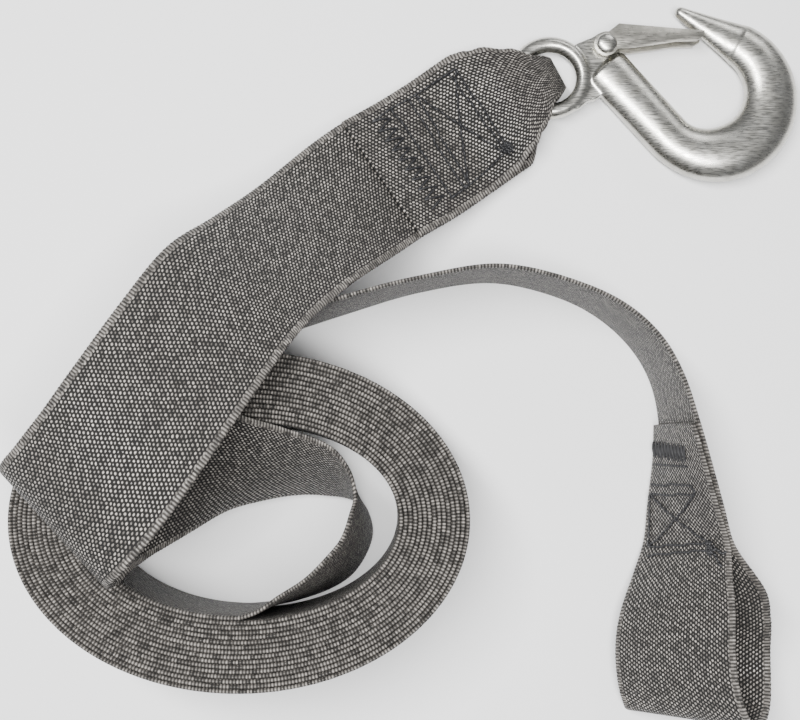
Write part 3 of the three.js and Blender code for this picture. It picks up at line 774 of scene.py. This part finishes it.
def plated_material(name, dull, bright, roughness, relief):
    """Zinc-plated steel between a dull and a bright tone, with fine relief from the plated grain."""
    material = bpy.data.materials.new(name)
    material.use_nodes = True
    tree = material.node_tree
    shader = tree.nodes["Principled BSDF"]
    where = add(tree, "ShaderNodeTexCoord").outputs["Object"]
    grain = add(tree, "ShaderNodeGroup", {}, node_tree=plated_grain)
    tree.links.new(where, grain.inputs[0])
    colour = blend_colour(tree, ease(tree, grain.outputs["Mottle"], 0.35, 0.65), dull, bright)
    tree.links.new(colour, shader.inputs["Base Color"])
    shader.inputs["Metallic"].default_value = 1.0
    tree.links.new(
        ease(tree, grain.outputs["Scratch"], 0.3, 0.7, roughness - 0.07, roughness + 0.1),
        shader.inputs["Roughness"])
    bump = add(
        tree, "ShaderNodeBump",
        {"Height": grain.outputs["Height"], "Strength": relief, "Distance": 0.0002})
    tree.links.new(bump.outputs[0], shader.inputs["Normal"])
    return material


bright_zinc = plated_material(
    "bright_zinc_forging", (0.45, 0.44, 0.40, 1), (0.55, 0.54, 0.50, 1), 0.29, 0.2)
hook.data.materials.clear()
hook.data.materials.append(bright_zinc)
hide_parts("hook_body")
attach(hook, "strap")

# Latch: folded from 1 mm zinc-plated sheet, two cheeks on the rivet and the back that joins them.
# Its far end straddles the hook's point, and its spring holds it there.
CHEEK_INSIDE, CHEEK_OUTSIDE = 0.0034, 0.0044
EAR_RADIUS = 0.0044
BACK_FROM, BACK_TO = (0.0046, 0.0074), (0.0356, 0.0049)
BACK_SHORT = 0.003       # the back stops before it meets the hook's point
SHEET = 0.001
FOLD_INSET = 0.00001     # keeps the joined shells' faces from lying in one plane


def cheek_outline():
    ear = [
        (EAR_RADIUS * math.cos(a), EAR_RADIUS * math.sin(a)) for a in np.radians(np.linspace(-28, -280, 20))
    ]
    outline = [
        BACK_FROM, BACK_TO, (0.0353, 0.0029), (0.0326, 0.0012), (0.025, 0.001), (0.0165, -0.0004)] + ear
    return [(x + RIVET_X, y + RIVET_Y) for x, y in outline]


def latch_back():
    start, end = np.array(BACK_FROM), np.array(BACK_TO)
    along = (end - start) / np.linalg.norm(end - start)
    down = np.array((along[1], -along[0]))
    stop = start + along * (np.linalg.norm(end - start) - BACK_SHORT)
    corners = [
        start + down * FOLD_INSET, stop + down * FOLD_INSET, stop + down * SHEET, start + down * SHEET]
    return [(x + RIVET_X, y + RIVET_Y) for x, y in corners]


latch = shell_object("safety_latch", [plate(cheek_outline(), CHEEK_INSIDE, CHEEK_OUTSIDE)])
fold = shell_object("latch_fold", [
    plate(cheek_outline(), -CHEEK_OUTSIDE, -CHEEK_INSIDE),
    plate(latch_back(), FOLD_INSET - CHEEK_OUTSIDE, CHEEK_OUTSIDE - FOLD_INSET)])
join = latch.modifiers.new("one_sheet", "BOOLEAN")
join.operation = "UNION"
join.solver = "EXACT"
join.use_self = True
join.object = fold
ease_edges = latch.modifiers.new("sheared_edges", "BEVEL")
ease_edges.width = 0.0002
ease_edges.segments = 2
ease_edges.limit_method = "ANGLE"
bake(latch)
bpy.data.objects.remove(fold)
latch.data.set_sharp_from_angle(angle=math.radians(40))
latch_steel = plated_material(
    "zinc_sheet_latch", (0.37, 0.36, 0.32, 1), (0.52, 0.50, 0.45, 1), 0.33, 0.2)
latch.data.materials.clear()
latch.data.materials.append(latch_steel)
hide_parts("hook_latch")
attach(latch, "latch")

# Rivet: zinc-plated steel pin through the neck and both cheeks, set with a domed head on each
# side. The latch turns on it.
PIN_RADIUS = 0.002
HEAD_RADIUS, HEAD_HEIGHT = 0.0037, 0.0016
HEAD_FROM = 0.0047       # from the mid-plane to the underside of a head
HEAD_RIM, HEAD_UNDER = 0.0035, 0.00465


def rivet_shell():
    """Both domes and the pin, turned round the rivet's axis."""
    dome = [
        (HEAD_RADIUS * math.cos(a), HEAD_FROM + HEAD_HEIGHT * math.sin(a))
        for a in np.linspace(0, math.pi / 2, 12)
    ]
    profile = [(r, -z) for r, z in reversed(dome)]
    profile += [(HEAD_RIM, -HEAD_UNDER), (PIN_RADIUS, -HEAD_UNDER)]
    profile += [(PIN_RADIUS, HEAD_UNDER), (HEAD_RIM, HEAD_UNDER)] + dome
    sides = 48
    inner = profile[1:-1]
    points = [
        (RIVET_X + r * math.cos(2 * math.pi * k / sides), RIVET_Y + r * math.sin(2 * math.pi * k / sides), z)
        for r, z in inner for k in range(sides)
    ]
    faces = [
        (i * sides + k, i * sides + (k + 1) % sides, (i + 1) * sides + (k + 1) % sides, (i + 1) * sides + k)
        for i in range(len(inner) - 1) for k in range(sides)
    ]
    base = len(points)
    points += [(RIVET_X, RIVET_Y, profile[0][1]), (RIVET_X, RIVET_Y, profile[-1][1])]
    last = (len(inner) - 1) * sides
    faces += [(base, (k + 1) % sides, k) for k in range(sides)]
    faces += [(base + 1, last + k, last + (k + 1) % sides) for k in range(sides)]
    return points, faces


rivet = shell_object("domed_rivet", [rivet_shell()])
rivet.data.set_sharp_from_angle(angle=math.radians(50))
rivet.data.materials.append(bright_zinc)
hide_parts("latch_rivet")
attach(rivet, "strap")

# Spring: torsion spring of 0.8 mm zinc-plated wire round the rivet, between neck and upper cheek.
# One leg lies under the latch's back, the other turns down to the neck.
WIRE_RADIUS = 0.0004
SPRING_TURN_RADIUS = 0.0031
SPRING_HEIGHT = 0.00265


def spring_shell():
    """The wire's two legs and its one open turn."""
    turn = [
        (SPRING_TURN_RADIUS * math.cos(a), SPRING_TURN_RADIUS * math.sin(a))
        for a in np.radians(np.linspace(90, 330, 40))
    ]
    leg = [(0.0115, 0.0050), (0.0080, 0.0046), (0.0046, 0.0041), (0.0020, 0.0035)]
    path = leg + turn + [(0.0038, -0.0019)]
    path = np.array([(x + RIVET_X, y + RIVET_Y) for x, y in path])
    headings = np.gradient(path, axis=0)
    headings /= np.linalg.norm(headings, axis=1)[:, None]
    rings = []
    for (x, y), (hx, hy) in zip(path, headings):
        rings.append([
            (x - hy * WIRE_RADIUS * math.cos(a), y + hx * WIRE_RADIUS * math.cos(a),
             SPRING_HEIGHT + WIRE_RADIUS * math.sin(a))
            for a in np.linspace(0, 2 * math.pi, 13)[:-1]
        ])
    return skinned(rings)


spring = shell_object("torsion_spring", [spring_shell()])
spring.data.materials.append(latch_steel)
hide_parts("latch_spring")
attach(spring, "latch")

# Studio: a pale paper floor just under the strap, one long softbox overhead, a weak one behind, and
# the camera at the photo's viewing angle. None of it is part of the strap.
FLOOR_HEIGHT = -0.0002
floor_mesh = bpy.data.meshes.new("studio_floor")
floor_corners = [(x, y, FLOOR_HEIGHT) for x, y in ((-3, -3), (3, -3), (3, 3), (-3, 3))]
floor_mesh.from_pydata(floor_corners, [], [(0, 1, 2, 3)])
floor = bpy.data.objects.new("studio_floor", floor_mesh)
bpy.context.scene.collection.objects.link(floor)
paper = bpy.data.materials.new("pale_paper")
paper.use_nodes = True
paper_shader = paper.node_tree.nodes["Principled BSDF"]
paper_shader.inputs["Base Color"].default_value = (0.93, 0.93, 0.93, 1)
paper_shader.inputs["Roughness"].default_value = 0.9
floor_mesh.materials.append(paper)

world = bpy.data.worlds.new("studio")
bpy.context.scene.world = world
world.use_nodes = True
surround = world.node_tree.nodes["Background"]
surround.inputs["Color"].default_value = (0.93, 0.95, 1.0, 1)
surround.inputs["Strength"].default_value = 0.24


def softbox(name, place, aim, size, watts):
    data = bpy.data.lights.new(name, "AREA")
    data.shape = "RECTANGLE"
    data.size, data.size_y = size
    data.energy = watts
    lamp = bpy.data.objects.new(name, data)
    bpy.context.scene.collection.objects.link(lamp)
    lamp.location = place
    lamp.rotation_euler = (Vector(aim) - Vector(place)).to_track_quat("-Z", "Y").to_euler()
    return lamp


overhead = softbox(
    "overhead_softbox", coil_at + Vector((-0.09, 0.07, 0.90)), (0, 0, 0), (0.90, 0.13), 24)
overhead.rotation_euler = (0, 0, math.radians(135))  # straight down, its length across the strap
softbox("far_softbox", (0.5, 1.0, 0.7), (0, 0, 0), (0.6, 0.4), 3)

camera_data = bpy.data.cameras.new("photo_camera")
camera_data.lens = 62.55  # 1390 px over the photo's 800 px width
camera_data.sensor_width = 36
camera_data.clip_start = 0.01
camera = bpy.data.objects.new("photo_camera", camera_data)
bpy.context.scene.collection.objects.link(camera)
camera.matrix_world = Matrix((
    (0.999897, -0.001186, -0.014338, coil_at.x + 0.0448),
    (0.0, 0.996596, -0.082444, coil_at.y + 0.0143),
    (0.014387, 0.082435, 0.996493, 0.500),
    (0, 0, 0, 1)))
bpy.context.scene.camera = camera
